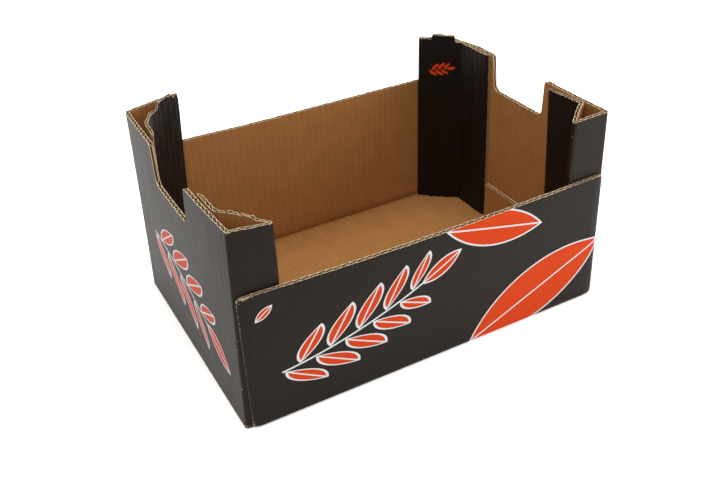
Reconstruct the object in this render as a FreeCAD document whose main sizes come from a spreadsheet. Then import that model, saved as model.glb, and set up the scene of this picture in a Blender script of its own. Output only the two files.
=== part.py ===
import FreeCAD, Part
import os
import re
import Sketcher

# Cardboard tray box for fruit and vegetables, glued up from three folded sheets of corrugated
# board: a wrap, which is the base, the two long walls and two glue flaps, and two taller end
# pieces, whose ends fold into hollow corner posts with stacking tabs. Millimetres, +Z up,
# +X along the tray's length, front wall at -Y. The origin is the middle of the underside.

SIZES = {
    # The whole tray
    "tray_length": 400,
    "tray_width": 280,
    "board": 4,
    # Walls of the wrap
    "front_height": 148,
    "back_height": 160,
    "wall_inset": 2,
    "wall_corner_cut": 3,
    # Glue flaps at the ends of the base, turned up inside the end panels
    "base_flap_height": 50,
    "base_flap_clearance": 3,
    # End panels and their hand notches
    "end_height": 213,
    "notch_depth": 41,
    "notch_top_width": 88,
    "notch_low_width": 84,
    "notch_top_radius": 4,
    "notch_low_radius": 8,
    # Corner posts: return along the long wall, distance from the corner to the diagonal's foot on
    # the end panel, and glue flap on the end panel. The back left post is set looser than the rest.
    "return_front_left": 43,
    "foot_front_left": 37,
    "flap_front_left": 37,
    "return_front_right": 43,
    "foot_front_right": 34,
    "flap_front_right": 39,
    "return_back_right": 43,
    "foot_back_right": 34,
    "flap_back_right": 54,
    "return_back_left": 56,
    "foot_back_left": 34,
    "flap_back_left": 42,
    "flap_gap": 0.4,
    "post_foot_gap": 1,
    "post_drop": 1.5,
    # Stacking tabs on the diagonals, and the slots in the base that take the next tray's tabs
    "tab_start": 10.5,
    "tab_length": 27,
    "tab_rise": 4,
    "tab_bevel": 1.5,
    "slot_end_play": 2,
    "slot_side_play": 0.75,
    # How far a cutting shape runs past the board that it cuts
    "overrun": 5,
}

# Each post's side of the tray along X and along Y
POSTS = {
    "front_left": (-1, -1),
    "front_right": (1, -1),
    "back_right": (1, 1),
    "back_left": (-1, 1),
}

HALF_LENGTH = "tray_length / 2"
HALF_WIDTH = "tray_width / 2"
UNTURNED = "rotation(vector(0; 0; 1); 0)"
UPRIGHT_ALONG_X = "rotation(vector(1; 0; 0); 90)"
UPRIGHT_ALONG_Y = "rotation(vector(1; 1; 1); 120)"

doc = FreeCAD.newDocument("tray_box")


def full(formula):
    """A formula with each size's name pointed at its cell in the sheet."""
    return re.sub(r"[a-z_]+", lambda word: "sizes." + word[0] if word[0] in SIZES else word[0], formula)


def bind(thing, **formulas):
    for name, formula in formulas.items():
        thing.setExpression(name, full(formula))


def place(thing, corner, turn=UNTURNED, shift=("0", "0", "0")):
    """Put a thing's own origin at a corner, turned, and then shift it along its turned axes."""
    formula = "placement(vector(%s; %s; %s); %s) * placement(vector(%s; %s; %s); %s)"
    thing.setExpression("Placement", full(formula % (*corner, turn, *shift, UNTURNED)))


def make_sheet():
    sheet = doc.addObject("Spreadsheet::Sheet", "sizes")
    for row, (name, value) in enumerate(SIZES.items(), start=1):
        sheet.set("A%d" % row, name)
        sheet.set("B%d" % row, str(value))
        sheet.setAlias("B%d" % row, name)
    doc.recompute()


def draw(name, corners, closed=False):
    """A sketch of straight lines from corner to corner, each corner held by two formulas."""
    sketch = doc.addObject("Sketcher::SketchObject", name)
    places = [[sketch.evalExpression(full(formula)) for formula in corner] for corner in corners]
    points = [FreeCAD.Vector(float(x), float(y), 0) for x, y in places]
    stops = points[1:] + points[:1] if closed else points[1:]
    lines = [sketch.addGeometry(Part.LineSegment(a, b)) for a, b in zip(points, stops)]
    for line in lines[1:]:
        sketch.addConstraint(Sketcher.Constraint("Coincident", line - 1, 2, line, 1))
    if closed:
        sketch.addConstraint(Sketcher.Constraint("Coincident", lines[-1], 2, lines[0], 1))
    for index, (corner, point) in enumerate(zip(corners, points)):
        line, end = (index, 1) if index < len(lines) else (index - 1, 2)
        for kind, formula, value in (("DistanceX", corner[0], point.x), ("DistanceY", corner[1], point.y)):
            held = sketch.addConstraint(Sketcher.Constraint(kind, -1, 1, line, end, value))
            sketch.setExpression("Constraints[%d]" % held, full(formula))
    return sketch


def round_corner(sketch, line, radius):
    """Round the corner where a line ends, and keep the corner point."""
    size = float(sketch.evalExpression(full(radius)))
    sketch.fillet(line, 2, size, True, True)
    arc = max(i for i, curve in enumerate(sketch.Geometry) if isinstance(curve, Part.ArcOfCircle))
    held = sketch.addConstraint(Sketcher.Constraint("Radius", arc, size))
    sketch.setExpression("Constraints[%d]" % held, full(radius))


def extrude(name, profile, length, direction=None):
    """The profile pulled along a direction or, without one, to both sides of its own plane."""
    solid = doc.addObject("Part::Extrusion", name)
    solid.Base = profile
    solid.DirMode = "Custom" if direction else "Normal"
    if direction:
        solid.Dir = FreeCAD.Vector(*direction)
    solid.Symmetric = direction is None
    solid.Solid = True
    bind(solid, LengthFwd=length)
    return solid


def folded_board(name, fold_line, length, direction):
    """Board of even thickness along a fold line, on its right-hand side, rounded outside each fold."""
    section = doc.addObject("Part::Offset2D", name + "_section")
    section.Source = fold_line
    section.Mode = "Skin"
    section.Join = "Arc"
    section.Fill = True
    bind(section, Value="board")
    return extrude(name, section, length, direction)


def box(name, size, corner, turn=UNTURNED, shift=("0", "0", "0")):
    block = doc.addObject("Part::Box", name)
    bind(block, Length=size[0], Width=size[1], Height=size[2])
    place(block, corner, turn, shift)
    return block


def fuse(name, shapes):
    whole = doc.addObject("Part::MultiFuse", name)
    whole.Shapes = shapes
    whole.Refine = True
    return whole


def cut(name, stock, waste):
    rest = doc.addObject("Part::Cut", name)
    rest.Base = stock
    rest.Tool = waste
    rest.Refine = True
    return rest


def post_points(name):
    """A post's fold points on the inner, unprinted face: panel corner, nose, foot and flap edge."""
    along, across = POSTS[name]
    face = "%d * (%s - board)" % (along, HALF_LENGTH)
    glued_face = "%d * (%s - board - flap_gap)" % (along, HALF_LENGTH)
    wall_side = "%d * (%s - 2 * board)" % (across, HALF_WIDTH)
    nose = "%d * (%s - return_%s + board)" % (along, HALF_LENGTH, name)
    foot = "%d * (%s - board - foot_%s)" % (across, HALF_WIDTH, name)
    edge = "%d * (%s)" % (across, flap_edge(name))
    return [(face, wall_side), (nose, wall_side), (glued_face, foot), (glued_face, edge)]


def flap_edge(name):
    """Distance from the tray's centre line to the free edge of a post's glue flap."""
    return "%s - board - foot_%s - flap_%s" % (HALF_WIDTH, name, name)


def diagonal_turn(name):
    """The turn about +Z that sets +X along a post's diagonal, from the nose to the foot."""
    (nose_x, nose_y), (foot_x, foot_y) = post_points(name)[1:3]
    return "rotation(vector(0; 0; 1); atan2(%s - %s; %s - %s))" % (foot_y, nose_y, foot_x, nose_x)


def make_tab(name):
    """The upright shape that the top edge of a diagonal keeps: a tab with sloped ends."""
    shoulder = "end_height - post_drop - overrun"
    top = "end_height + tab_rise + overrun"
    slope = "tab_bevel * (post_drop + tab_rise + 2 * overrun) / (post_drop + tab_rise)"
    outline = draw("tab_outline_" + name, [
        ("tab_start", shoulder),
        ("tab_start + tab_length", shoulder),
        ("tab_start + tab_length - %s" % slope, top),
        ("tab_start + %s" % slope, top),
    ], closed=True)
    nose_x, nose_y = post_points(name)[1]
    place(outline, (nose_x, nose_y, "0"), diagonal_turn(name) + " * " + UPRIGHT_ALONG_X)
    # Thick enough for the whole diagonal, and clear of the end panel
    return extrude("tab_" + name, outline, "2 * (board + flap_gap)")


def make_slot(name):
    """The hole in the base under a diagonal, for the tab of the tray below."""
    nose_x, nose_y = post_points(name)[1]
    along, across = POSTS[name]
    # The board lies on one side of the fold line, which is the left or the right of the diagonal
    side = "-board - slot_side_play" if along * across > 0 else "-slot_side_play"
    size = ("tab_length + 2 * slot_end_play", "board + 2 * slot_side_play", "board + 2 * overrun")
    shift = ("tab_start - slot_end_play", side, "0")
    return box("slot_" + name, size, (nose_x, nose_y, "-overrun"), diagonal_turn(name), shift)


def make_notch(name, along):
    """The cutting shape of an end panel's hand notch, flared at the top and round at the bottom."""
    low = "end_height - notch_depth"
    over = "end_height + tab_rise + overrun"
    top_half = "notch_top_width / 2"
    low_half = "notch_low_width / 2"
    wide = "notch_top_width / 2 + notch_top_radius + overrun"
    outline = draw("notch_outline_" + name, [
        ("-(%s)" % low_half, low),
        (low_half, low),
        (top_half, "end_height"),
        (wide, "end_height"),
        (wide, over),
        ("-(%s)" % wide, over),
        ("-(%s)" % wide, "end_height"),
        ("-(%s)" % top_half, "end_height"),
    ], closed=True)
    place(outline, ("%d * %s" % (along, HALF_LENGTH), "0", "0"), UPRIGHT_ALONG_Y)
    round_corner(outline, 0, "notch_low_radius")
    round_corner(outline, 7, "notch_low_radius")
    round_corner(outline, 1, "notch_top_radius")
    round_corner(outline, 6, "notch_top_radius")
    return extrude("notch_" + name, outline, "2 * (2 * board + flap_gap + overrun)")


def make_end_piece(name, along, first_post, second_post):
    """An end panel with a folded corner post at each side, from one sheet."""
    fold_line = draw(name + "_fold_line", post_points(first_post)[::-1] + post_points(second_post))
    strip = folded_board(name + "_strip", fold_line, "end_height + tab_rise", (0, 0, 1))
    inner_face = "%s - board - flap_gap / 2" % HALF_LENGTH
    posts_width = "tray_width - 4 * board"
    reach = "tray_length / 4"
    near = "-(%s)" % inner_face if along < 0 else "%s - %s" % (inner_face, reach)
    outer = "-(%s) - overrun" % HALF_LENGTH if along < 0 else "%s + overrun - %s" % (HALF_LENGTH, reach)
    above_all = box(name + "_above_all", (reach, "tray_width", "tab_rise + overrun"),
                    (outer, "-(%s)" % HALF_WIDTH, "end_height"))
    above_diagonals = box(name + "_above_diagonals", (reach, posts_width, "post_drop + tab_rise + overrun"),
                          (near, "-(%s) / 2" % posts_width, "end_height - post_drop"))
    waste = cut(name + "_top_waste", fuse(name + "_top_blocks", [above_all, above_diagonals]),
                fuse(name + "_tabs", [make_tab(first_post), make_tab(second_post)]))
    base_edge = "-(%s) + board" % HALF_LENGTH if along < 0 else "%s - board - %s" % (HALF_LENGTH, reach)
    foot_waste = box(name + "_foot_waste", (reach, "tray_width", "overrun + board + post_foot_gap"),
                     (base_edge, "-(%s)" % HALF_WIDTH, "-overrun"))
    return cut(name, strip, fuse(name + "_waste", [waste, foot_waste, make_notch(name, along)]))


def make_base_flap(name, along, front_post, back_post):
    """A glue flap folded up from the base, between the posts' glue flaps, with the base beside its fold."""
    outer = "%d * (%s - board)" % (along, HALF_LENGTH)
    inner = "%d * (%s - 2 * board)" % (along, HALF_LENGTH)
    root = "%d * (%s - 3 * board)" % (along, HALF_LENGTH)
    section = draw(name + "_section", [
        (outer, "base_flap_height"),
        (outer, "0"),
        (root, "0"),
        (root, "board"),
        (inner, "board"),
        (inner, "base_flap_height"),
    ], closed=True)
    round_corner(section, 0, "board")
    back = "%s - base_flap_clearance" % flap_edge(back_post)
    front = "-(%s - base_flap_clearance)" % flap_edge(front_post)
    width = "%s - (%s)" % (back, front)
    place(section, ("0", back, "0"), UPRIGHT_ALONG_X)
    flap = extrude(name, section, width, (0, -1, 0))
    room_start = inner if along > 0 else "%s - 2 * board" % inner
    room = box(name + "_room", ("2 * board", width, "board + 2 * overrun"), (room_start, front, "-overrun"))
    return flap, room


def make_corner_cut(wall, across, height, end, along):
    """The wedge that is off a long wall's top corner."""
    wall_end = "%d * (%s - wall_inset)" % (along, HALF_LENGTH)
    middle = "%d * (%s - board / 2)" % (across, HALF_WIDTH)
    side = "wall_corner_cut * sqrt(2)"
    shift = ("-wall_corner_cut / sqrt(2)", "-board / 2 - overrun", "-wall_corner_cut / sqrt(2)")
    return box("corner_cut_%s_%s" % (wall, end), (side, "board + 2 * overrun", side),
               (wall_end, middle, height), "rotation(vector(0; 1; 0); 45)", shift)


def make_wrap():
    """The base, both long walls and the two base flaps, from one sheet."""
    inner = "(%s - board)" % HALF_WIDTH
    fold_line = draw("wrap_fold_line", [
        ("-" + inner, "front_height"),
        ("-" + inner, "board"),
        (inner, "board"),
        (inner, "back_height"),
    ])
    place(fold_line, ("-(%s) + wall_inset" % HALF_LENGTH, "0", "0"), UPRIGHT_ALONG_Y)
    channel = folded_board("wrap_channel", fold_line, "tray_length - 2 * wall_inset", (1, 0, 0))
    waste = []
    for end, along in (("left", -1), ("right", 1)):
        start = "%s - board" % HALF_LENGTH if along > 0 else "-(%s) - overrun" % HALF_LENGTH
        waste.append(box("base_end_" + end, ("board + overrun", "2 * " + inner, "board + 2 * overrun"),
                         (start, "-" + inner, "-overrun")))
        waste.append(make_corner_cut("front", -1, "front_height", end, along))
        waste.append(make_corner_cut("back", 1, "back_height", end, along))
    left_flap, left_room = make_base_flap("base_flap_left", -1, "front_left", "back_left")
    right_flap, right_room = make_base_flap("base_flap_right", 1, "front_right", "back_right")
    trimmed = cut("wrap_trimmed", channel, fuse("wrap_waste", waste + [left_room, right_room]))
    whole = fuse("wrap_with_flaps", [trimmed, left_flap, right_flap])
    return cut("body_wrap", whole, fuse("slots", [make_slot(name) for name in POSTS]))


def check_objects():
    for thing in doc.Objects:
        if "Invalid" in thing.State or "Error" in thing.State:
            raise RuntimeError("%s did not compute: %s" % (thing.Name, thing.State))


def write_parts(parts):
    os.makedirs("parts", exist_ok=True)
    for part in parts:
        if part.Shape.isNull() or not part.Shape.isValid() or len(part.Shape.Solids) != 1:
            raise RuntimeError("%s is not one sound solid" % part.Label)
        part.Shape.exportStep("parts/%s.step" % part.Label)
        room = part.Shape.BoundBox
        print("%-16s %9.0f mm3" % (part.Label, part.Shape.Volume),
              "x %.1f to %.1f" % (room.XMin, room.XMax),
              "y %.1f to %.1f" % (room.YMin, room.YMax),
              "z %.1f to %.1f" % (room.ZMin, room.ZMax))


make_sheet()
pieces = [
    make_wrap(),
    make_end_piece("end_piece_left", -1, "back_left", "front_left"),
    make_end_piece("end_piece_right", 1, "front_right", "back_right"),
]
doc.recompute()
check_objects()
write_parts(pieces)
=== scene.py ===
import math

import bmesh
import bpy
import numpy as np
from bpy.props import FloatProperty, FloatVectorProperty, PointerProperty
from mathutils import Matrix, Vector


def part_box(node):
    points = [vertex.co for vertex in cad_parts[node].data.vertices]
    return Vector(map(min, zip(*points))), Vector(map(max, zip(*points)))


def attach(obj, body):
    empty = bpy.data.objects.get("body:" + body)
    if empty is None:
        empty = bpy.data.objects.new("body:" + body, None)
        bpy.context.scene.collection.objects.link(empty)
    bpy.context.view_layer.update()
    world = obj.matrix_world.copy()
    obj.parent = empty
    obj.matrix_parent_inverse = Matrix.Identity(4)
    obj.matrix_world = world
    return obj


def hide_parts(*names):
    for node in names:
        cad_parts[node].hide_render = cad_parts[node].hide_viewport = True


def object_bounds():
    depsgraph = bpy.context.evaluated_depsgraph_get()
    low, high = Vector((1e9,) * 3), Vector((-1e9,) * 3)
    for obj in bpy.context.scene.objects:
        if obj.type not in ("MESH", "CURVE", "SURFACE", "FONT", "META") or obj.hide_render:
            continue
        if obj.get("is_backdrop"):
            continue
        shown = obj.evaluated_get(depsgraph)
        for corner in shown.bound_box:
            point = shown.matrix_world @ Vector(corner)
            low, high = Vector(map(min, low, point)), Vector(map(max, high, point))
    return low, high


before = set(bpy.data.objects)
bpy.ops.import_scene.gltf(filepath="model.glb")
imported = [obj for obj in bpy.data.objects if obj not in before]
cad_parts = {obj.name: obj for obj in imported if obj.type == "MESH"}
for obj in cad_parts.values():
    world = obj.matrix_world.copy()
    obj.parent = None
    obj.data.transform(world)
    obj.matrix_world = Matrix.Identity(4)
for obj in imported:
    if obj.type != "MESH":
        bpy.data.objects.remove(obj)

bl_info = {
    "name": "Cardboard Tray Box",
    "version": (1, 0, 0),
    "blender": (4, 5, 0),
    "location": "3D View > Sidebar > Tray Box",
    "description": "Fluted sheets, printed liners and a studio for a folded cardboard tray box",
    "category": "Object",
}

# Sizes in this file are millimetres until a mesh is finished, when MM makes them metres.
MM = 0.001

WRAP_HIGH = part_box("body_wrap")[1] / MM
LEFT_LOW, LEFT_HIGH = (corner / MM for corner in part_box("end_piece_left"))
RIGHT_LOW, RIGHT_HIGH = (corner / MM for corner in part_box("end_piece_right"))
WHOLE_LOW, WHOLE_HIGH = (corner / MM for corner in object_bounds())

HALF_LENGTH = (WHOLE_HIGH.x - WHOLE_LOW.x) / 2
HALF_WIDTH = (WHOLE_HIGH.y - WHOLE_LOW.y) / 2
WALL_END = WRAP_HIGH.x
BOARD = WRAP_HIGH.y - LEFT_HIGH.y
BACK_HEIGHT = WRAP_HIGH.z
FRONT_HEIGHT = 148
TAB_RISE = 4
END_HEIGHT = LEFT_HIGH.z - TAB_RISE
RETURN_BACK_LEFT = LEFT_HIGH.x - LEFT_LOW.x
RETURN_RIGHT = RIGHT_HIGH.x - RIGHT_LOW.x

# Plan of each corner post at its foot: side of the tray along X and Y, how far the return reaches along
# the long wall, where the diagonal meets the end panel, and how far its glue flap reaches from there.
POSTS = {
    "front_left": {"side": (-1, -1), "reach": 43, "foot": 37, "flap": 37},
    "front_right": {"side": (1, -1), "reach": RETURN_RIGHT, "foot": 32, "flap": 44},
    "back_right": {"side": (1, 1), "reach": RETURN_RIGHT + 2, "foot": 34, "flap": 54},
    "back_left": {"side": (-1, 1), "reach": RETURN_BACK_LEFT - 5.5, "foot": 34, "flap": 42},
}
# The same at the top, where handling has bent the board: how far the diagonal's foot and the flap's
# free edge stand off the panel, and the radius of the bend between them.
POST_TOPS = {
    "front_left": {"reach": 41.2, "foot": 37, "flap": 37.5, "lift": 1.2, "spread": 2.2, "bend": 17},
    "front_right": {"reach": 41, "foot": 30, "flap": 53.5, "lift": 0.6, "spread": 0.8, "bend": 7},
    "back_right": {"reach": 43.5, "foot": 34, "flap": 51.5, "lift": 0.5, "spread": 0.5, "bend": 9},
    "back_left": {"reach": 56, "foot": 19.8, "flap": 56, "lift": 8.2, "spread": 3.0, "bend": 44},
}
# Heights of each post's top edge above or below the end panel's nominal one: at the notch, the corner
# and the nose, along the tab from start to end, at the diagonal's foot and at the flap's free edge.
# Then where the tab starts and ends along the diagonal, how crushed the edge is from 0 to 1, and how
# scuffed the ink is on the diagonal and on the flap, with a highlight painted along the flute ridges there.
POST_EDGES = {
    "front_left": {"notch": -1, "corner": 0, "nose": -3, "tab": (-0.6, 1.2), "foot": 0.2, "end": -0.8,
                   "tab_span": (13, 39), "crush": 0.5, "scuff_and_highlight": (0.1, 0.1)},
    "front_right": {"notch": 1.2, "corner": 2.4, "nose": 2.6, "tab": (4.4, 3.6), "foot": 1.2, "end": -2.5,
                    "tab_span": (14, 41), "crush": 0.35, "scuff_and_highlight": (0, 0)},
    "back_right": {"notch": -0.5, "corner": -7, "nose": 1.2, "tab": (6.3, 5.2), "foot": -1.8, "end": -1.6,
                   "tab_span": (13, 41.5), "crush": 0.3, "scuff_and_highlight": (0, 0.5)},
    "back_left": {"notch": 2.4, "corner": -1.6, "nose": 3.8, "tab": (6.6, 6.0), "foot": 0, "end": 1.8,
                  "tab_span": (7, 31), "crush": 1.0, "scuff_and_highlight": (0.9, 0.7)},
}
FLAP_GAP = 0.4
POST_FOOT_GAP = 1
TAB_START = 10.5
TAB_LENGTH = 27
TAB_SLOPE = 2
# Hand notches as (distance along the panel, height) of the four corners, from the first post on
NOTCHES = {
    "end_piece_left": ((-44, 213), (-42, 172.6), (41, 172.4), (44.5, 213)),
    "end_piece_right": ((-42.5, 213), (-41, 172.8), (41.8, 172.4), (45.5, 213)),
}
NOTCH_TOP_RADIUS = 4.5
NOTCH_LOW_RADIUS = 9
NOTCH_DEPTH = 41
BASE_FLAP_HEIGHT = 50
BASE_FLAP_CLEARANCE = 3
BASE_END = HALF_LENGTH - BOARD
SLOT_LENGTH = TAB_LENGTH + 4
SLOT_WIDTH = BOARD + 1.5
WALL_CORNER_CUT = 3
WALL_FOOT_TAPER = 4.5
# How far, in millimetres, the standing tray's walls and ends lean and bow
FRONT_BOW = 5.5
FRONT_FLARE = 1.4
BACK_BOW = 1.0
BACK_LEFT_BOW = 4.5
END_BULGE = 2.5
END_FLARE = 4.4
BACK_LEFT_LEAN = 3.4
BACK_LEFT_TUCK = 1.0
FRONT_LEFT_LEAN = 1.5
RIGHT_END_SKEW = 3.0
RIGHT_CORNER_OUT = 2.6

# Fold radii of the board's middle: a scored fold, and a diagonal's foot low in the tray
SCORED_FOLD = 0.9
FLAP_FOLD = 2.2
FOOT_FOLD = 8
# Where the flat meshes are divided: along the flutes, near the folds, near the walls' top edges, and
# up the end pieces as shares of their height
COLUMNS_PER_FLUTE = 8
FINEST_COLUMN = 0.12
COLUMNS_AT_FOLD = np.array((-3, -1.6, -0.7, 0, 0.7, 1.6, 3))
ROWS_AT_FOLD = np.array((-12, -2.2, -1.1, 0, 1.1, 2.2, 12))
ROWS_AT_EDGE = np.array((0, 1.2, 3.5, 10, 45, 100))
BASE_ROWS = 8
END_ROWS = (0, 0.03, 0.12, 0.3, 0.5, 0.68, 0.8, 0.88, 0.94, 0.975, 0.991, 1)
FLAP_COLUMNS = (210, 225)
# A notch's outline: its straight run beside the notch, and the distance from point to point
NOTCH_RUN = 30
NOTCH_STEP = 0.4
# The angle, in degrees, from which two faces meet at an edge that stays sharp
SHARP_ANGLE = 38
# How far the print runs from the walls under the base
PRINT_UNDER_BASE = 14


def size_property(name, description, size):
    return FloatProperty(name=name, description=description, default=size * MM, unit="LENGTH")


class BoardSizes(bpy.types.PropertyGroup):
    """The make-up of the corrugated board."""

    flute_pitch: size_property("Flute Pitch", "Distance from flute to flute", 7.8)
    liner: size_property("Liner", "Thickness of the flat paper on each face", 0.46)
    medium: size_property("Fluting Paper", "Thickness of the wavy paper between the liners", 0.5)
    show_through: size_property("Show-through", "How far a liner sinks between the flutes", 0.045)
    ragged: size_property("Ragged Edge", "How uneven a cut edge is", 0.35)


def hex_colour(text):
    """A colour written as sRGB hex, as the linear numbers that a shader takes."""
    values = [int(text[i:i + 2], 16) / 255 for i in (1, 3, 5)]
    return [v / 12.92 if v <= 0.04045 else ((v + 0.055) / 1.055) ** 2.4 for v in values]


def ink_property(name, description, colour):
    return FloatVectorProperty(name=name, description=description, default=hex_colour(colour),
                               subtype="COLOR", size=3, min=0, max=1)


class PaperColours(bpy.types.PropertyGroup):
    """Inks and papers of the tray."""

    charcoal: ink_property("Charcoal", "The ink that covers the outside", "#17120E")
    orange: ink_property("Orange", "The ink of the leaves", "#D74619")
    white: ink_property("White", "The ink of the outlines", "#E6E9EA")
    kraft: ink_property("Kraft", "The unprinted liner inside", "#A97643")
    fluting: ink_property("Fluting", "The wavy paper inside the board", "#6E4A26")
    cut_edge: ink_property("Cut Edge", "Fresh paper where the board was cut", "#E6CDA8")
    rubbed: ink_property("Rubbed", "Paper under ink that has worn off", "#A89A86")
    # Dusty grey is scuffed ink, and also a highlight painted along the crushed flute ridges
    dusty_and_highlight: ink_property("Dusty", "Ink scuffed where the flutes press it out", "#5C544E")


class StageSizes(bpy.types.PropertyGroup):
    """Camera, lights and floor."""

    lens: FloatProperty(
        name="Lens", description="Focal length on a 36 mm wide sensor", default=46.965, unit="CAMERA")
    camera_place: FloatVectorProperty(
        name="Camera Place", description="Where the camera stands",
        default=(-401.5 * MM, -749.6 * MM, 618.2 * MM), subtype="TRANSLATION")
    camera_aim: FloatVectorProperty(
        name="Camera Aim", description="The point in the middle of the view",
        default=(-9.9 * MM, -10.05 * MM, 70.8 * MM), subtype="TRANSLATION")
    camera_roll: FloatProperty(
        name="Camera Roll", description="Turn about the line of sight", default=math.radians(-2.37),
        subtype="ANGLE")


class FoldLine:
    """The line of a board's middle seen along its folds: straight runs with an arc at each corner."""

    def __init__(self, corners, radii):
        self.runs = []
        self.folds = []
        self.marks = [0.0]
        self.length = 0.0
        point = Vector(corners[0])
        for index, radius in enumerate(radii, start=1):
            corner = Vector(corners[index])
            before = (corner - Vector(corners[index - 1])).normalized()
            after = (Vector(corners[index + 1]) - corner).normalized()
            turn = math.atan2(before.cross(after), before.dot(after))
            start = corner - before * radius * math.tan(abs(turn) / 2)
            self.add_run(point, before, (start - point).length, 0.0)
            self.marks.append(self.length + radius * abs(turn) / 2)
            self.folds.append((self.marks[-1], radius, abs(turn)))
            self.add_run(start, before, radius * abs(turn), math.copysign(1 / radius, turn))
            point = corner + after * radius * math.tan(abs(turn) / 2)
        end = Vector(corners[-1])
        self.add_run(point, (end - point).normalized(), (end - point).length, 0.0)
        self.marks.append(self.length)

    def add_run(self, point, heading, length, curvature):
        self.runs.append((self.length, point, math.atan2(heading.y, heading.x), curvature))
        self.length += length

    def place(self, along, out):
        """Points at the given distances along the line, moved out on its right-hand side."""
        first, second = np.zeros(len(along)), np.zeros(len(along))
        for index, (start, point, heading, curvature) in enumerate(self.runs):
            end = self.runs[index + 1][0] if index + 1 < len(self.runs) else math.inf
            here = (along < end) if index == 0 else (along >= start) & (along < end)
            gone = along[here] - start
            angle = heading + curvature * gone
            if curvature:
                step = ((np.sin(angle) - math.sin(heading)) / curvature,
                        (math.cos(heading) - np.cos(angle)) / curvature)
            else:
                step = (math.cos(heading) * gone, math.sin(heading) * gone)
            first[here] = point.x + step[0] + out[here] * np.sin(angle)
            second[here] = point.y + step[1] - out[here] * np.cos(angle)
        return first, second

    def press(self, along, out, thin):
        """Press the board thin by a share, and flat on the inside of its folds, where there is no room
        for all of it."""
        out = (out + BOARD / 2) * (1 - thin) - BOARD / 2
        room = np.full(len(along), BOARD / 2)
        for mark, radius, turn in self.folds:
            past = np.abs(along - mark) - radius * turn / 2
            fair = (past + radius * math.tan(turn / 2)) / math.tan(turn / 2)
            room = np.minimum(room, np.where(past > 0, np.maximum(fair, radius - 0.2), radius - 0.2))
        return np.where(out < 0, out * room / (BOARD / 2), out)


def offset_corners(corners, distance):
    """The corners of a line drawn beside another one, on its right-hand side."""
    points = [Vector(corner) for corner in corners]
    sides = []
    for a, b in zip(points, points[1:]):
        heading = (b - a).normalized()
        sides.append(Vector((heading.y, -heading.x)))
    moved = [points[0] + sides[0] * distance]
    for point, before, after in zip(points[1:], sides, sides[1:]):
        middle = (before + after).normalized()
        moved.append(point + middle * distance / middle.dot(before))
    moved.append(points[-1] + sides[-1] * distance)
    return moved


def post_corners(name, top=False):
    """A post's corners on the unprinted face: panel corner, nose, foot and free edge of the glue flap."""
    along, across = POSTS[name]["side"]
    plan = POST_TOPS[name] if top else POSTS[name]
    wall_side = across * (HALF_WIDTH - 2 * BOARD)
    foot = HALF_WIDTH - BOARD - plan["foot"]
    return [
        (along * BASE_END, wall_side),
        (along * (HALF_LENGTH - plan["reach"] + BOARD), wall_side),
        (along * (BASE_END - plan.get("lift", FLAP_GAP)), across * foot),
        (along * (BASE_END - plan.get("spread", FLAP_GAP)), across * (foot - plan["flap"])),
    ]


def unevenness(stations, seed, spacing):
    """Smooth random heights between -1 and 1 along a line, with bumps about as wide as the spacing."""
    low, high = stations.min(), stations.max()
    count = max(4, int((high - low) / spacing) + 2)
    draws = np.random.default_rng(seed).uniform(-1, 1, count)
    fine = np.linspace(low, high, count * 4)
    heights = np.interp(fine, np.linspace(low, high, count), draws)
    for _ in range(3):
        heights[1:-1] = (heights[:-2] + 2 * heights[1:-1] + heights[2:]) / 4
    return np.interp(stations, fine, heights)


def settle(points):
    """The standing tray's lean and bow. All sheets follow one field, so glued faces stay together."""
    x, y, z = points.T.copy()
    share_x, share_y = x / HALF_LENGTH, y / HALF_WIDTH
    up = np.clip(z / END_HEIGHT, 0, 1.05)
    front, back = np.clip(-share_y, 0, 1), np.clip(share_y, 0, 1)
    left, right = np.clip(-share_x, 0, 1), np.clip(share_x, 0, 1)
    belly = np.clip(1 - share_x ** 2, 0, 1)
    # Long walls bow outwards at the top, the back one mostly near its left end
    y -= FRONT_BOW * front ** 5 * belly * (z / FRONT_HEIGHT)
    y -= FRONT_FLARE * front ** 6 * (1 - up) * (1 - 0.55 * share_x)
    back_bow = BACK_BOW * belly + BACK_LEFT_BOW * np.exp(-((share_x + 0.7) / 0.28) ** 2)
    y += back_bow * back ** 5 * (z / BACK_HEIGHT)
    # The left end bulges at its notch, leans in at its back corner and stands out at its foot
    x -= END_BULGE * left ** 4 * np.clip(1 - share_y ** 2, 0, 1) * up
    x -= END_FLARE * left ** 4 * (1 - up) * (1.25 - 0.75 * share_y) / 2
    x += left ** 4 * back ** 3 * (BACK_LEFT_LEAN * up ** 1.5 + BACK_LEFT_TUCK * 4 * up * (1 - up))
    x += FRONT_LEFT_LEAN * left ** 4 * front ** 3 * up
    # The right end stands out towards the front, most of all at its corner's foot
    x += RIGHT_END_SKEW * right ** 4 * np.clip(0.7 - share_y, 0, 1) * (1 - up / 4)
    x += RIGHT_CORNER_OUT * right ** 4 * front ** 3 * (1 - 0.8 * up)
    return np.column_stack((x, y, z))


def flat_sheet(columns, rows):
    """A flat sheet with its columns at the given distances and its rows numbered from 0 to 1."""
    sheet = bmesh.new()
    across, up = len(columns) - 1, len(rows) - 1
    bmesh.ops.create_grid(sheet, x_segments=across, y_segments=up, size=0.5)
    for vert in sheet.verts:
        vert.co.x = columns[round((vert.co.x + 0.5) * across)]
        vert.co.y = rows[round((vert.co.y + 0.5) * up)]
    return sheet


def flute_columns(low, high, pitch, extra):
    """Column places that follow the flutes, with extra ones where the outline needs them."""
    step = pitch / COLUMNS_PER_FLUTE
    first, last = math.ceil(low / step), math.floor(high / step)
    places = np.concatenate(([low, high], np.arange(first, last + 1) * step, extra))
    places = np.unique(places[(places >= low) & (places <= high)])
    keep = np.concatenate(([True], np.diff(places) > FINEST_COLUMN))
    keep[-1] = True
    return places[keep]


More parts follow.
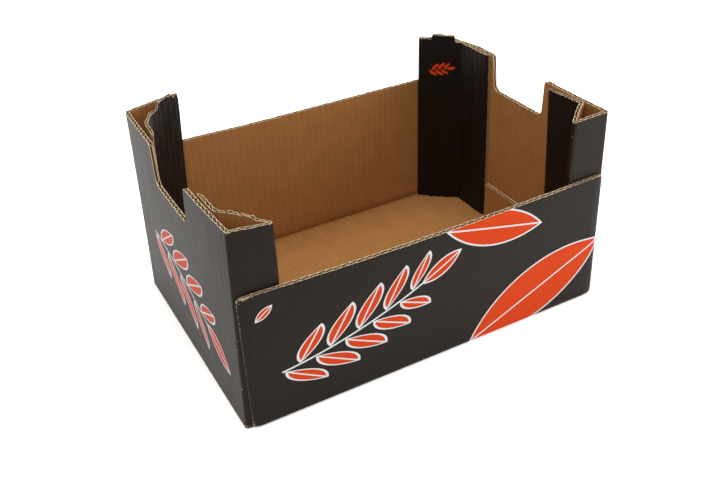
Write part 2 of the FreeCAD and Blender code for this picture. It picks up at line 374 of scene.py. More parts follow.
def laminate(sheet, board):
    """One mesh of two liners with the fluting paper between them, still flat. X and Y are the blank's,
    Z is the way out of the printed face. Material 0 is the printed face, 1 the face inside, 2 the
    fluting and 3 the cut edges."""
    half = BOARD / 2
    liner, medium = board.liner / MM, board.medium / MM
    plies = ((half - liner, liner, (0, 2)), (-medium / 2, medium, (2, 2)), (-half, liner, (2, 1)))
    mesh = bpy.data.meshes.new("blank")
    stack = bmesh.new()
    for low, thickness, (upper, lower) in plies:
        ply = sheet.copy()
        bmesh.ops.recalc_face_normals(ply, faces=ply.faces[:])
        bmesh.ops.solidify(ply, geom=ply.faces[:], thickness=thickness)
        bottom = min(vert.co.z for vert in ply.verts)
        for vert in ply.verts:
            vert.co.z = low if vert.co.z - bottom < thickness / 2 else low + thickness
        bmesh.ops.recalc_face_normals(ply, faces=ply.faces[:])
        for face in ply.faces:
            face.smooth = True
            face.material_index = 3 if abs(face.normal.z) < 0.5 else upper if face.normal.z > 0 else lower
        ply.to_mesh(mesh)
        stack.from_mesh(mesh)
        ply.free()
    sheet.free()
    stack.to_mesh(mesh)
    stack.free()
    return mesh


def read_points(mesh):
    flat = np.empty(len(mesh.vertices) * 3)
    mesh.vertices.foreach_get("co", flat)
    return flat.reshape(-1, 3)


def keep_blank(mesh, flat, centre):
    """The blank's coordinates about a centre, in metres, as the UV map that papers and inks read."""
    corners = np.empty(len(mesh.loops), int)
    mesh.loops.foreach_get("vertex_index", corners)
    layer = mesh.uv_layers.new(name="blank")
    layer.uv.foreach_set("vector", ((flat[corners, :2] - centre) * MM).ravel())


def keep_values(mesh, name, values):
    """Store a value from 0 to 1 for each point, under the name that a material reads."""
    kept = np.clip(values, 0, 1).astype(np.float32)
    mesh.attributes.new(name, "FLOAT", "POINT").data.foreach_set("value", kept)


def out_of_face(flat, board, flatten, press):
    """How far each point lies out from the board's middle: liners sink between flutes, and the
    fluting paper swings from one liner to the other. flatten squeezes the board, from 0 to 1, and
    press is how many times the usual depth the liners sink."""
    pitch, liner, medium = board.flute_pitch / MM, board.liner / MM, board.medium / MM
    wave = np.cos(2 * math.pi * flat[:, 0] / pitch)
    swing = (BOARD - 2 * liner - medium) / 2
    uneven = unevenness(flat[:, 0], 3, 13) * 0.5 + 0.8
    sink = board.show_through / MM * press * uneven
    out = flat[:, 2].copy()
    outer, inner = out > medium, out < -medium
    between = ~(outer | inner)
    out[between] += swing * wave[between]
    out[outer] -= sink[outer] * (1 - wave[outer]) / 2
    out[inner] += sink[inner] * (1 + wave[inner]) / 2
    return out * (1 - flatten)


def new_object(name, data):
    """A new object in the scene that shows a mesh, a lamp or a camera."""
    made = bpy.data.objects.new(name, data)
    bpy.context.scene.collection.objects.link(made)
    return made


def finish_piece(name, mesh, points, materials, node):
    """Put the folded points into the mesh and hand the piece to the frame."""
    mesh.name = name
    mesh.vertices.foreach_set("co", (settle(points) * MM).ravel())
    mesh.set_sharp_from_angle(angle=math.radians(SHARP_ANGLE))
    for material in materials:
        mesh.materials.append(material)
    mesh.update()
    piece = new_object(name, mesh)
    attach(piece, "root")
    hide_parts(node)


def top_edge(node, first, second, marks):
    """The top edge of an end piece along its blank: flap, diagonal with tab, return, panel with hand
    notch, and the same again for the second post."""
    sides = []
    for name, sign, (corner, nose, foot, flap_end) in ((first, -1, marks[3::-1]), (second, 1, marks[4:])):
        post = POST_EDGES[name]
        start, end = (nose + sign * step for step in post["tab_span"])
        levels = [(corner, post["corner"]), (nose, post["nose"]), (start, post["nose"]),
                  (start + sign * TAB_SLOPE, post["tab"][0]), (end - sign * TAB_SLOPE, post["tab"][1]),
                  (end, post["foot"]), (foot, post["foot"]), (flap_end, post["end"])]
        sides.append([(place, END_HEIGHT + level) for place, level in levels])
    corners = NOTCHES[node]
    outline = [(corners[0][0] - NOTCH_RUN, END_HEIGHT), *corners, (corners[3][0] + NOTCH_RUN, END_HEIGHT)]
    line = FoldLine(outline, [NOTCH_TOP_RADIUS, NOTCH_LOW_RADIUS, NOTCH_LOW_RADIUS, NOTCH_TOP_RADIUS])
    along = np.linspace(0, line.length, int(line.length / NOTCH_STEP))
    notch_s, notch_z = line.place(along, np.zeros(len(along)))
    share = np.clip((notch_z - corners[1][1]) / NOTCH_DEPTH, 0, 1)
    lift = np.where(notch_s < 0, POST_EDGES[first]["notch"], POST_EDGES[second]["notch"])
    notch = list(zip(notch_s + (marks[3] + marks[4]) / 2, notch_z + lift * share))
    return sides[0][::-1] + notch + sides[1]


def end_piece_line(first, second, top):
    """The middle of an end piece's board, seen from above, at its foot or at its top."""
    corners = post_corners(first, top)[::-1] + post_corners(second, top)
    bends = [POST_TOPS[post]["bend"] if top else FOOT_FOLD for post in (first, second)]
    return FoldLine(offset_corners(corners, BOARD / 2), [bends[0], *[SCORED_FOLD] * 4, bends[1]])


def end_blank(line, top_s, top_z, board):
    """An end piece's flat sheet, cut to its top edge and to the feet of its panel and posts."""
    step = BOARD + POST_FOOT_GAP
    start, end = line.marks[3] - BOARD, line.marks[4] + BOARD
    bottom_s = np.array([start, start + 0.2, end - 0.2, end])
    bottom_z = np.array([step, 0, 0, step])
    fine = np.concatenate([mark + COLUMNS_AT_FOLD for mark in line.marks[2:6]])
    extra = np.concatenate((top_s, bottom_s, fine))
    sheet = flat_sheet(flute_columns(0, line.length, board.flute_pitch / MM, extra), END_ROWS)
    for vert in sheet.verts:
        low = np.interp(vert.co.x, bottom_s, bottom_z)
        high = np.interp(vert.co.x, top_s, top_z)
        vert.co.y = low + (high - low) * vert.co.y
    return sheet


def scuff_and_highlight_streaks(along, line, first, second, board):
    """Where crushed flutes show as two ridges each, the ink is scuffed along them, and a highlight is
    painted along them too.
    """
    turns = 2 * math.pi * along * MM / board.flute_pitch
    ridge = (0.5 + 0.5 * np.cos(2 * turns)) ** 2 * (0.7 + 0.3 * np.cos(turns + 0.8))
    feet = [line.marks[index] + step for index in (1, 6) for step in (-3, 3)]
    amounts = [*POST_EDGES[first]["scuff_and_highlight"][::-1], *POST_EDGES[second]["scuff_and_highlight"]]
    return ridge * np.interp(along, feet, amounts) * (0.75 + 0.6 * unevenness(along, 19, 5))


def fold_end_piece(name, node, first, second, board, materials):
    """An end panel with a corner post at each side, folded from one sheet."""
    low_line, line = (end_piece_line(first, second, top) for top in (False, True))
    nose_1, corner_1, corner_2, nose_2 = line.marks[2:6]
    top_s, top_z = np.array(top_edge(node, first, second, line.marks)).T
    mesh = laminate(end_blank(line, top_s, top_z, board), board)

    flat = read_points(mesh)
    along, height = flat[:, 0], flat[:, 1]
    below_top = np.interp(along, top_s, top_z) - height
    from_end = np.minimum(along, line.length - along)
    crush = np.interp(along, [nose_1 + 4, corner_1, corner_2, nose_2 - 4],
                      [POST_EDGES[first]["crush"], 0.1, 0.1, POST_EDGES[second]["crush"]])
    in_post = np.interp(along, [nose_1 - 4, nose_1 + 4, nose_2 - 4, nose_2 + 4], [1, 0, 0, 1])
    fold_wear = sum(np.exp(-np.abs(along - mark) / 1.5) for mark in line.marks[2:6])
    edge = np.minimum.reduce([below_top, height, from_end])
    keep_values(mesh, "wear", 0.55 * np.exp(-edge / 0.7) + 0.3 * fold_wear
                + 0.4 * crush * in_post * np.exp(-below_top / 3))
    scuff_and_highlight_values = scuff_and_highlight_streaks(along, line, first, second, board)
    # The scuff values also paint a highlight along the crushed flute ridges
    keep_values(mesh, "scuff_and_highlight", scuff_and_highlight_values * in_post * np.exp(-below_top / 110))

    press = 2.2 * in_post * np.clip(crush * 1.4, 0.5, 1)
    near_nose = np.exp(-np.minimum(np.abs(along - nose_1), np.abs(along - nose_2)) / 14)
    flatten = (0.25 + 0.4 * near_nose) * crush ** 1.5 * np.exp(-below_top / 7)
    out = out_of_face(flat, board, flatten, 1 + press)
    # Board is pressed thin at the flaps' free edges
    out = line.press(along, out, 0.55 * np.exp(-from_end / 4))
    out += crush * in_post * 0.9 * unevenness(along, 7, 9) * np.exp(-below_top / 14)
    ply = np.sign(np.round(flat[:, 2]))
    ragged = board.ragged / MM * (1 + 3 * crush * in_post)
    raise_edge = ragged * unevenness(along + ply * 3.1, 11 + len(name), 1.6)
    height = height + raise_edge * np.exp(-below_top / 1.5) * (np.abs(height) > 20)
    # Posts keep their plan at the foot and change to the handled one towards the top
    high = np.column_stack(line.place(along, out))
    low = np.column_stack(low_line.place(np.interp(along, line.marks, low_line.marks), out))
    share = (np.clip(flat[:, 1] / END_HEIGHT, 0, 1) ** 2)[:, None]
    plan = low + (high - low) * share
    keep_blank(mesh, flat, ((corner_1 + corner_2) / 2, 0))
    finish_piece(name, mesh, np.column_stack((plan, height)), materials, node)


def wrap_line():
    """The middle of the wrap, from the back wall's top edge under the base to the front wall's. The
    first axis is -Y, so that the outside stays on the right-hand side."""
    inner = HALF_WIDTH - BOARD
    corners = [(-inner, BACK_HEIGHT), (-inner, BOARD), (inner, BOARD), (inner, FRONT_HEIGHT)]
    return FoldLine(offset_corners(corners, BOARD / 2), [SCORED_FOLD, SCORED_FOLD])


def cut_slots(sheet, base_middle):
    """Cut the hole under each post's diagonal through the flat sheet."""
    for name, post in POSTS.items():
        along, across = post["side"]
        nose, foot = (Vector(corner) for corner in post_corners(name)[1:3])
        heading = (foot - nose).normalized()
        side = Vector((heading.y, -heading.x)) * (1 if along * across > 0 else -1)
        centre = nose + heading * (TAB_START + TAB_LENGTH / 2) + side * BOARD / 2
        # On the blank the first axis stays X, and the second runs against Y
        place = Vector((centre.x, base_middle - centre.y, 0))
        ways = ((Vector((heading.x, -heading.y, 0)), SLOT_LENGTH / 2),
                (Vector((side.x, -side.y, 0)), SLOT_WIDTH / 2))
        for way, reach in ways:
            for sign in (-1, 1):
                near = [face for face in sheet.faces
                        if (face.calc_center_median() - place).length < SLOT_LENGTH]
                edges = {edge for face in near for edge in face.edges}
                corners = {vert for face in near for vert in face.verts}
                bmesh.ops.bisect_plane(sheet, geom=[*near, *edges, *corners], dist=1e-4,
                                       plane_co=place + way * reach * sign, plane_no=way)
        inside = [face for face in sheet.faces
                  if all(abs((face.calc_center_median() - place).dot(way)) < reach for way, reach in ways)]
        bmesh.ops.delete(sheet, geom=inside, context="FACES")


def flap_ends(along):
    """The back and front ends of the base flap at one end of the tray, along Y."""
    ends = []
    for across in (1, -1):
        post = next(p for p in POSTS.values() if p["side"] == (along, across))
        ends.append(across * (HALF_WIDTH - BOARD - post["foot"] - post["flap"] - BASE_FLAP_CLEARANCE))
    return ends


def trim_corners(sheet, line, flap_mark):
    """Take the sharp point off the walls' four top corners."""
    cut = WALL_CORNER_CUT
    for vert in sheet.verts:
        corner = abs(vert.co.x) - (WALL_END - cut)
        if corner > 0 and vert[flap_mark] == 0:
            if vert.co.y < cut:
                vert.co.y += corner * (1 - vert.co.y / (cut + 1))
            elif vert.co.y > line.length - cut:
                vert.co.y -= corner * (1 - (line.length - vert.co.y) / (cut + 1))


def wrap_blank(line, flap_line, board):
    """The wrap's flat sheet, cut out, with its base flaps slit free and marked and its slots cut."""
    fold_back, fold_front = line.marks[1:3]
    middle = (fold_back + fold_front) / 2
    flap_reach = flap_line.length
    fold_turn = FLAP_FOLD * math.pi / 2
    bend_start = flap_line.marks[1] - fold_turn / 2
    places = (WALL_END - WALL_CORNER_CUT, WALL_END, BASE_END, bend_start, bend_start + 1.2,
              bend_start + 2.5, bend_start + fold_turn, *FLAP_COLUMNS)
    extra = np.array([sign * place for sign in (-1, 1) for place in places])
    columns = flute_columns(-flap_reach, flap_reach, board.flute_pitch / MM, extra)
    slits = [middle - y for along in (-1, 1) for y in flap_ends(along)]
    base = np.linspace(fold_back, fold_front, BASE_ROWS)[1:-1]
    rows = np.unique(np.concatenate((ROWS_AT_EDGE, line.length - ROWS_AT_EDGE, fold_back + ROWS_AT_FOLD,
                                     fold_front + ROWS_AT_FOLD, slits, base)))
    sheet = flat_sheet(columns, rows)

    def is_flap(face):
        point = face.calc_center_median()
        back, front = flap_ends(math.copysign(1, point.x))
        return abs(point.x) > bend_start and middle - back < point.y < middle - front

    waste = []
    for face in sheet.faces:
        centre = face.calc_center_median()
        in_base = fold_back - 0.1 < centre.y < fold_front + 0.1
        limit = flap_reach if is_flap(face) else BASE_END if in_base else WALL_END
        if abs(centre.x) > limit:
            waste.append(face)
    bmesh.ops.delete(sheet, geom=waste, context="FACES")
    slit_edges = [edge for edge in sheet.edges if len(edge.link_faces) == 2
                  and is_flap(edge.link_faces[0]) != is_flap(edge.link_faces[1])
                  and abs(edge.verts[0].co.y - edge.verts[1].co.y) < 0.01]
    bmesh.ops.split_edges(sheet, edges=slit_edges)
    flap_mark = sheet.verts.layers.float.new("flap")
    for face in sheet.faces:
        if is_flap(face):
            for vert in face.verts:
                vert[flap_mark] = 1
    cut_slots(sheet, middle)
    trim_corners(sheet, line, flap_mark)
    return sheet


def fold_wrap(name, node, board, materials):
    """Base, long walls and base flaps, folded from one sheet."""
    line = wrap_line()
    fold_back, fold_front = line.marks[1:3]
    middle = (fold_back + fold_front) / 2
    end = BASE_END - BOARD / 2
    flap_line = FoldLine([(0, BOARD / 2), (end, BOARD / 2), (end, BASE_FLAP_HEIGHT)], [FLAP_FOLD])
    mesh = laminate(wrap_blank(line, flap_line, board), board)

    flat = read_points(mesh)
    across, along = flat[:, 0], flat[:, 1]
    marked = np.empty(len(mesh.vertices), np.float32)
    mesh.attributes["flap"].data.foreach_get("value", marked)
    mesh.attributes.remove(mesh.attributes["flap"])
    in_flap = marked > 0.5
    in_wall = (along < fold_back) | (along > fold_front)
    top_distance = np.minimum(along, line.length - along)
    side_distance = np.abs(np.abs(across) - WALL_END)
    corner = np.exp(-np.hypot(top_distance / 3, side_distance / 8))
    fold_distance = np.minimum(np.abs(along - fold_back), np.abs(along - fold_front))
    fold_wear = np.exp(-fold_distance / 2) + 3 * np.exp(-np.hypot(fold_distance, side_distance) / 3.5)
    keep_values(mesh, "wear", 0.5 * np.exp(-np.minimum(top_distance, side_distance) / 0.8)
                + 0.2 * fold_wear + 1.5 * corner)

    pinch = np.exp(-top_distance / 4) * 0.08 + 0.35 * corner
    out = out_of_face(flat, board, pinch, 1.0)
    # Board is pressed thin at the walls' upright edges
    thin = (0.8 + 0.1 * unevenness(along, 21, 7)) * np.where(across < 0, 1, 0.75)
    thin = thin * np.exp(-side_distance / 3.5) * in_wall
    out = line.press(along, out, thin)
    ply = np.sign(np.round(flat[:, 2]))
    ragged = board.ragged / MM
    raise_edge = ragged * unevenness(across + ply * 2.7, 5, 1.6) * np.exp(-top_distance / 1.5)
    first_axis, up = line.place(along + np.where(along > middle, raise_edge, -raise_edge), out)
    # The walls' left ends run in towards the foot
    past_fold = np.where(in_wall, 0, np.minimum(along - fold_back, fold_front - along))
    foot = np.clip(1 - fold_distance * in_wall / FRONT_HEIGHT, 0, 1) * np.clip(1 - past_fold / 4, 0, 1)
    run_in = WALL_FOOT_TAPER * foot * np.exp(-side_distance / 10) * (across < 0) * ~in_flap
    points = np.column_stack((across + run_in, -first_axis, up))
    reach, height = flap_line.place(np.abs(across[in_flap]), out[in_flap])
    points[in_flap, 0] = np.sign(across[in_flap]) * reach
    points[in_flap, 2] = height
    keep_blank(mesh, flat, (0, middle))
    finish_piece(name, mesh, points, materials, node)


MIX = "ShaderNodeMix"


def connect(tree, node, sockets):
    """Fill a node's sockets, in order or by name, with values or with other nodes' outputs."""
    named = sockets.items() if isinstance(sockets, dict) else enumerate(sockets)
    for place, value in named:
        if isinstance(value, bpy.types.NodeSocket):
            tree.links.new(value, node.inputs[place])
        else:
            node.inputs[place].default_value = value


def add(tree, kind, sockets=(), output=0, **settings):
    """Add a node, apply its settings, fill its sockets and give one output."""
    made = tree.nodes.new(kind)
    for name, value in settings.items():
        setattr(made, name, value)
    connect(tree, made, sockets)
    return made.outputs[output]


def chain(tree, value, *steps):
    """Work a number out in steps, each an operation with any operands that follow the number."""
    for operation, *operands in steps:
        value = add(tree, "ShaderNodeMath", (value, *operands), operation=operation)
    return value


def paper(name):
    """A new material, its tree, its shader and the blank's coordinates."""
    material = bpy.data.materials.new(name)
    material.use_nodes = True
    tree = material.node_tree
    place = add(tree, "ShaderNodeUVMap", uv_map="blank")
    return material, tree, tree.nodes["Principled BSDF"], place


def stretched_noise(tree, place, width, length, detail=3.0, seed=0.0):
    """Noise on the blank whose spots are about width by length millimetres."""
    scaled = add(tree, "ShaderNodeMapping", {"Vector": place, "Location": (seed, seed, 0),
                                             "Scale": (1 / (width * MM), 1 / (length * MM), 1)})
    return add(tree, "ShaderNodeTexNoise", {"Vector": scaled, "Scale": 1.0, "Detail": detail},
               noise_dimensions="2D")


def shade(tree, colour, amount, low, high):
    """A colour made darker or lighter by a value from 0 to 1."""
    factor = add(tree, "ShaderNodeMapRange", (amount, 0.0, 1.0, low, high))
    grey = add(tree, "ShaderNodeCombineColor", (factor, factor, factor))
    return add(tree, MIX, {0: 1.0, 6: colour, 7: grey}, 2, data_type="RGBA", blend_type="MULTIPLY")


def opaque(colour):
    return (*colour, 1.0)


def local_place(tree, place, centre, angle):
    """Coordinates in millimetres about a centre, with the first axis at an angle to the blank's."""
    about = add(tree, "ShaderNodeMapping", {
        "Vector": place, "Location": (centre[0] * MM, centre[1] * MM, 0),
        "Rotation": (0, 0, math.radians(angle)), "Scale": (MM, MM, 1)}, vector_type="TEXTURE")
    return add(tree, "ShaderNodeSeparateXYZ", (about,)).node.outputs[:2]


def leaf_edge(tree, along, across, half_length, half_width):
    """Distance to the edge of a pointed leaf, negative inside: where two equal arcs overlap."""
    radius = (half_length ** 2 + half_width ** 2) / (2 * half_width)
    far = chain(tree, across, ("ABSOLUTE",), ("ADD", radius - half_width))
    point = add(tree, "ShaderNodeCombineXYZ", (along, far))
    length = add(tree, "ShaderNodeVectorMath", (point,), 1, operation="LENGTH")
    return chain(tree, length, ("SUBTRACT", radius))


def leaf_inks(tree, edge, rib_distance, keyline):
    """Where a leaf is printed at all, and where it is orange: inside its outline and off its rib."""
    whole = chain(tree, edge, ("LESS_THAN", 0.0))
    fill = chain(tree, edge, ("LESS_THAN", -keyline))
    off_rib = chain(tree, rib_distance, ("ABSOLUTE",), ("GREATER_THAN", keyline / 2))
    return whole, chain(tree, fill, ("MULTIPLY", off_rib))


def single_leaf(tree, place, centre, angle, length, width, keyline):
    """One large leaf with a fine rib, about its centre."""
    along, across = local_place(tree, place, centre, angle)
    edge = leaf_edge(tree, along, across, length / 2, width / 2)
    return leaf_inks(tree, edge, across, keyline)


def leaf_spray(tree, place, centre, angle, count, spacing, leaf_length, keyline, bend):
    """A bent stem with pairs of leaves and one at its tip. The leaves of each side are one leaf drawn
    again in every cell of a grid that is sheared to the leaves' own angle."""
    lean = math.radians(44)
    half_width = spacing * math.sin(lean) * 0.42
    along, across = local_place(tree, place, centre, angle)
    across = chain(tree, along, ("MULTIPLY", along), ("MULTIPLY_ADD", -bend, across))
    side = chain(tree, across, ("LESS_THAN", 0.0))
    away = chain(tree, across, ("ABSOLUTE",))
    start = count * spacing / 2
    sheared = chain(tree, away, ("MULTIPLY_ADD", -1 / math.tan(lean), along), ("ADD", start))
    cells = chain(tree, side, ("MULTIPLY_ADD", spacing / 2, sheared), ("DIVIDE", spacing))
    cell = chain(tree, cells, ("FLOOR",))
    beside = chain(tree, cells, ("FRACT",), ("SUBTRACT", 0.5), ("MULTIPLY", spacing * math.sin(lean)))
    size = chain(tree, cell, ("SUBTRACT", (count - 1) * 0.4), ("DIVIDE", count), ("POWER", 2.0),
                 ("MULTIPLY_ADD", -0.9, 1.0))
    from_stem = chain(tree, away, ("DIVIDE", math.sin(lean)), ("SUBTRACT", keyline), ("DIVIDE", size))
    edge = leaf_edge(tree, chain(tree, from_stem, ("SUBTRACT", leaf_length / 2)),
                     chain(tree, beside, ("DIVIDE", size)), leaf_length / 2, half_width)
    in_row = chain(tree, cell, ("COMPARE", (count - 1) / 2, count / 2 - 0.25))
    outside = chain(tree, in_row, ("MULTIPLY_ADD", -1000.0, 1000.0))
    edge = chain(tree, edge, ("MULTIPLY", size), ("ADD", outside))
    whole, fill = leaf_inks(tree, edge, beside, keyline)

    tip = chain(tree, along, ("SUBTRACT", start + leaf_length * 0.42))
    tip_edge = leaf_edge(tree, tip, across, leaf_length / 2, half_width)
    tip_whole, tip_fill = leaf_inks(tree, tip_edge, across, keyline)
    stem = chain(tree, away, ("LESS_THAN", keyline * 0.6))
    on_stem = chain(tree, along, ("COMPARE", 0.0, start + keyline))
    stem = chain(tree, stem, ("MULTIPLY", on_stem))
    whole = chain(tree, whole, ("MAXIMUM", tip_whole), ("MAXIMUM", stem))
    return whole, chain(tree, fill, ("MAXIMUM", tip_fill))


def wall_artwork(tree, place):
    """The long walls' print: two large leaves that the wall's edges cut, a small one and a spray. The
    back wall carries the same print half a turn round, as both are printed on one flat sheet."""
    line = wrap_line()
    half = (line.marks[2] - line.marks[1]) / 2
    front, back = (add(tree, "ShaderNodeMapping", {"Vector": place, "Location": (0, -half * MM, 0),
                                                   "Rotation": (0, 0, turn)}) for turn in (0, math.pi))
    height = add(tree, "ShaderNodeSeparateXYZ", (place,), 1)
    is_front = chain(tree, height, ("GREATER_THAN", 0.0))
    wall = add(tree, MIX, {0: is_front, 4: back, 5: front}, 1, data_type="VECTOR")
    return [
        single_leaf(tree, wall, (122, 34), 24, 176, 66, 1.8),
        single_leaf(tree, wall, (66, 131), -14, 118, 40, 1.8),
        leaf_spray(tree, wall, (-86, 69), 17, 5, 31, 50, 1.6, 0.0011),
        single_leaf(tree, wall, (-176, 124), 38, 22, 9, 1.0),
    ]


def end_artwork(tree, place):
    """The end pieces' print: a spray on the panel and a small plain one on a post's diagonal."""
    sprig = leaf_spray(tree, place, (197, 177), 8, 3, 7, 11, 0.6, 0.0)[0]
    return [leaf_spray(tree, place, (-8, 90), -12, 4, 36, 58, 1.8, -0.0012), (sprig, sprig)]


def printed_liner(name, inks, artwork, bare_from=0.0):
    """Flexo-printed, lightly coated liner: a matt charcoal ink that still shines a little at a low
    angle, faint stripes where the flutes show through, scuffed ink with a painted highlight along the
    crushed flute ridges of the posts, crisp orange and white shapes, and paper showing at rubbed folds
    and cut edges. bare_from leaves the middle of the blank unprinted."""
    material, tree, shader, place = paper(name)
    cloud = stretched_noise(tree, place, 24, 40)
    streak = stretched_noise(tree, place, 1.4, 70, seed=3)
    speck = stretched_noise(tree, place, 0.5, 0.8, 4, seed=7)
    colour = shade(tree, opaque(inks.charcoal), streak, 0.86, 1.14)
    colour = shade(tree, colour, cloud, 0.9, 1.1)
    scuff_and_highlight = add(tree, "ShaderNodeAttribute", (), 2, attribute_name="scuff_and_highlight")
    gaps = stretched_noise(tree, place, 1.5, 22, 4, 9)
    broken = add(tree, "ShaderNodeMapRange", (gaps, 0.35, 0.6, 0.15, 1.0))
    # Painted highlight and scuffed ink: dusty grey laid along the crushed flute ridges
    layers = [(chain(tree, scuff_and_highlight, ("MULTIPLY", broken)), opaque(inks.dusty_and_highlight))]
    light = shade(tree, opaque(inks.white), speck, 0.93, 1.0)
    warm = shade(tree, opaque(inks.orange), streak, 0.95, 1.05)
    motif = 0.0
    for whole, fill in artwork(tree, place):
        layers += [(whole, light), (fill, warm)]
        motif = chain(tree, whole, ("MAXIMUM", motif))
    if bare_from:
        height = add(tree, "ShaderNodeSeparateXYZ", (place,), 1)
        inside = chain(tree, height, ("ABSOLUTE",), ("LESS_THAN", bare_from * MM))
        fibre = stretched_noise(tree, place, 2, 12, 5, 4)
        layers.append((inside, shade(tree, opaque(inks.kraft), fibre, 0.82, 1.12)))
    wear = add(tree, "ShaderNodeAttribute", (), 2, attribute_name="wear")
    patch = stretched_noise(tree, place, 2.2, 3.5, 5, seed=11)
    worn = chain(tree, wear, ("MULTIPLY", 0.62), ("ADD", patch), ("SUBTRACT", 0.86), ("MULTIPLY", 9.0))
    worn = add(tree, "ShaderNodeClamp", (worn,))
    layers.append((worn, opaque(inks.rubbed)))
    for share, layer in layers:
        colour = add(tree, MIX, {0: share, 6: colour, 7: layer}, 2, data_type="RGBA")
    shine = add(tree, "ShaderNodeMapRange", (streak, 0.3, 0.7, 0.42, 0.52))
    rough = add(tree, MIX, {0: worn, 2: shine, 3: 0.85})
    gloss = add(tree, MIX, {0: motif, 2: 0.13, 3: 0.06})
    grain = add(tree, "ShaderNodeBump", {"Strength": 0.25, "Distance": 0.05 * MM, "Height": speck})
    connect(tree, shader, {"Base Color": colour, "Roughness": rough, "Specular IOR Level": gloss,
                           "Specular Tint": opaque(hex_colour("#FFF6EC")), "Normal": grain})
    return material


def kraft_liner(name, inks):
    """Unbleached kraft liner: brown, matt, with long fibres, a cloudy formation and faint darker
    lines where the glued flutes show through."""
    material, tree, shader, place = paper(name)
    pitch = bpy.context.scene.tray_board.flute_pitch
    across = add(tree, "ShaderNodeSeparateXYZ", (place,), 0)
    glue = chain(tree, across, ("MULTIPLY", 2 * math.pi / pitch), ("COSINE",), ("MULTIPLY_ADD", 0.5, 0.5))
    fibre = stretched_noise(tree, place, 0.6, 5, 5)
    cloud = stretched_noise(tree, place, 18, 26, seed=5)
    colour = shade(tree, opaque(inks.kraft), fibre, 0.84, 1.14)
    colour = shade(tree, colour, cloud, 0.88, 1.1)
    colour = shade(tree, colour, glue, 1.02, 0.95)
    grain = add(tree, "ShaderNodeBump", {"Strength": 0.4, "Distance": 0.06 * MM, "Height": fibre})
    connect(tree, shader, {"Base Color": colour, "Roughness": 0.86, "Specular IOR Level": 0.12,
                           "Normal": grain})
    return material


def rough_paper(name, colour):
    """Torn or cut paper: matt, with short loose fibres that vary in tone."""
    material, tree, shader, place = paper(name)
    fibre = stretched_noise(tree, place, 0.7, 0.7, 4)
    connect(tree, shader, {"Base Color": shade(tree, opaque(colour), fibre, 0.7, 1.25),
                           "Roughness": 0.92, "Specular IOR Level": 0.15})
    return material


def piece_materials(artwork, printed_name, bare_from=0.0):
    """The printed liner of a piece with the papers that all pieces share."""
    inks = bpy.context.scene.tray_colours
    kraft = bpy.data.materials.get("kraft_liner") or kraft_liner("kraft_liner", inks)
    fluting = bpy.data.materials.get("fluting_paper") or rough_paper("fluting_paper", inks.fluting)
    cut = bpy.data.materials.get("cut_paper_edge") or rough_paper("cut_paper_edge", inks.cut_edge)
    return [printed_liner(printed_name, inks, artwork, bare_from), kraft, fluting, cut]


class TRAY_OT_fold_wrap(bpy.types.Operator):
    """Fold the base, long walls and base flaps from one sheet"""

    bl_idname = "tray.fold_wrap"
    bl_label = "Fold Wrap"

    def execute(self, context):
        materials = piece_materials(wall_artwork, "printed_liner_walls", HALF_WIDTH - PRINT_UNDER_BASE)
        fold_wrap("folded_wrap", "body_wrap", context.scene.tray_board, materials)
        return {"FINISHED"}


class TRAY_OT_fold_ends(bpy.types.Operator):
    """Fold the two end panels with their corner posts"""

    bl_idname = "tray.fold_ends"
    bl_label = "Fold End Pieces"

    def execute(self, context):
        materials = piece_materials(end_artwork, "printed_liner_ends")
        board = context.scene.tray_board
        fold_end_piece("folded_end_left", "end_piece_left", "back_left", "front_left", board, materials)
        fold_end_piece("folded_end_right", "end_piece_right", "front_right", "back_right", board, materials)
        return {"FINISHED"}


# The studio, in metres and watts: each softbox's name, place, size and power
SOFTBOXES = (
    ("key_softbox", (-0.9, -1.5, 2.0), 1.1, 12),
    ("side_softbox", (1.5, -1.1, 0.8), 1.0, 14),
    ("top_softbox", (0.0, 0.2, 2.2), 1.4, 26),
)
SOFTBOX_AIM = (0, 0, 0.1)
WORLD_FILL = 0.5
# The floor's half width, how far it lies under the board, its levels as light and as seen, its colour
FLOOR_REACH = 2.8
FLOOR_GAP = 0.0002
FLOOR_LIT, FLOOR_SHOWN = 0.8, 1.6
FLOOR_TINT = (1.0, 0.985, 0.965)


def look_along(place, aim, roll):
    """The matrix of a camera or lamp that stands at a place and faces a point."""
    back = (Vector(place) - Vector(aim)).normalized()
    side = Vector((0, 0, 1)).cross(back).normalized()
    up = back.cross(side)
    turned = side * math.cos(roll) + up * math.sin(roll)
    above = up * math.cos(roll) - side * math.sin(roll)
    matrix = Matrix((turned, above, back)).transposed().to_4x4()
    matrix.translation = place
    return matrix


def add_softbox(name, place, size, power):
    """A square lamp with a soft edge to its shadows, turned to the tray."""
    lamp = bpy.data.lights.new(name, "AREA")
    lamp.shape = "SQUARE"
    lamp.size = size
    lamp.energy = power
    new_object(name, lamp).matrix_world = look_along(place, SOFTBOX_AIM, 0.0)


def white_to_camera(tree, lit, shown):
    """One level as light on the tray, another to a camera, glossy or transmitted ray."""
    path = add(tree, "ShaderNodeLightPath").node
    rays = [path.outputs[f"Is {ray} Ray"] for ray in ("Camera", "Glossy", "Transmission")]
    seen = chain(tree, rays[0], ("MAXIMUM", rays[1]), ("MAXIMUM", rays[2]))
    return add(tree, MIX, {0: seen, 2: lit, 3: shown})


def studio_world():
    """White all round: bright to the eye and in reflections, softer as light."""
    world = bpy.data.worlds.new("studio")
    world.use_nodes = True
    tree = world.node_tree
    strength = white_to_camera(tree, WORLD_FILL, 1.0)
    connect(tree, tree.nodes["Background"], {"Color": (1, 1, 1, 1), "Strength": strength})
    bpy.context.scene.world = world


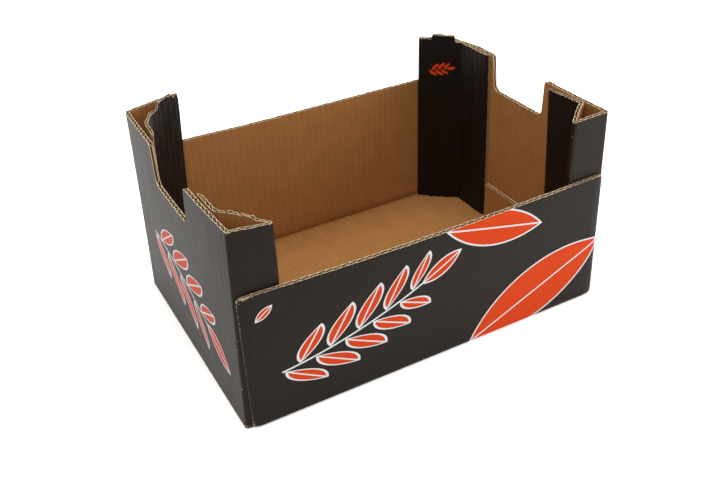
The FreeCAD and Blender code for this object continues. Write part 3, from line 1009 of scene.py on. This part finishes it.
def studio_floor():
    """A pale painted floor that keeps the tray's shadow, a hair below the board that stands on it."""
    below = Matrix.Translation((0, 0, -FLOOR_GAP))
    sheet = bmesh.new()
    bmesh.ops.create_grid(sheet, x_segments=1, y_segments=1, size=FLOOR_REACH, matrix=below)
    mesh = bpy.data.meshes.new("floor")
    sheet.to_mesh(mesh)
    sheet.free()
    material = bpy.data.materials.new("pale_floor_paint")
    material.use_nodes = True
    tree = material.node_tree
    tree.nodes.remove(tree.nodes["Principled BSDF"])
    level = white_to_camera(tree, FLOOR_LIT, FLOOR_SHOWN)
    tint = [chain(tree, level, ("MULTIPLY", share)) for share in FLOOR_TINT]
    colour = add(tree, "ShaderNodeCombineColor", tint)
    paint = add(tree, "ShaderNodeBsdfDiffuse", {"Color": colour})
    connect(tree, tree.nodes["Material Output"], {"Surface": paint})
    mesh.materials.append(material)
    floor = new_object("floor", mesh)
    floor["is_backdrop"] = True


class TRAY_OT_set_stage(bpy.types.Operator):
    """Set the camera, the lamps, the white surroundings and the floor"""

    bl_idname = "tray.set_stage"
    bl_label = "Set Stage"

    def execute(self, context):
        scene = context.scene
        sizes = scene.tray_stage
        studio_floor()
        studio_world()
        for softbox in SOFTBOXES:
            add_softbox(*softbox)
        camera = new_object("camera", bpy.data.cameras.new("camera"))
        camera.data.lens = sizes.lens
        camera.data.sensor_width = 36
        camera.data.clip_start = 0.01
        camera.matrix_world = look_along(sizes.camera_place, sizes.camera_aim, sizes.camera_roll)
        scene.camera = camera
        scene.view_settings.view_transform = "Standard"
        return {"FINISHED"}


class TRAY_PT_tray_box(bpy.types.Panel):
    """The tray's operators and sizes"""

    bl_idname = "TRAY_PT_tray_box"
    bl_label = "Tray Box"
    bl_space_type = "VIEW_3D"
    bl_region_type = "UI"
    bl_category = "Tray Box"

    def draw(self, context):
        layout = self.layout
        for operator in OPERATORS:
            layout.operator(operator.bl_idname)
        for settings in SETTINGS:
            group = getattr(context.scene, settings)
            box = layout.box()
            for name in group.bl_rna.properties.keys():
                if name not in ("rna_type", "name"):
                    box.prop(group, name)


OPERATORS = (TRAY_OT_fold_wrap, TRAY_OT_fold_ends, TRAY_OT_set_stage)
SETTINGS = {"tray_board": BoardSizes, "tray_colours": PaperColours, "tray_stage": StageSizes}
CLASSES = (*SETTINGS.values(), *OPERATORS, TRAY_PT_tray_box)


def register():
    for item in CLASSES:
        bpy.utils.register_class(item)
    for name, group in SETTINGS.items():
        setattr(bpy.types.Scene, name, PointerProperty(type=group))


def unregister():
    for name in SETTINGS:
        delattr(bpy.types.Scene, name)
    for item in reversed(CLASSES):
        bpy.utils.unregister_class(item)


def main():
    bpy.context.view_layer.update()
    register()
    bpy.ops.tray.fold_wrap()
    bpy.ops.tray.fold_ends()
    bpy.ops.tray.set_stage()


if __name__ == "__main__":
    main()
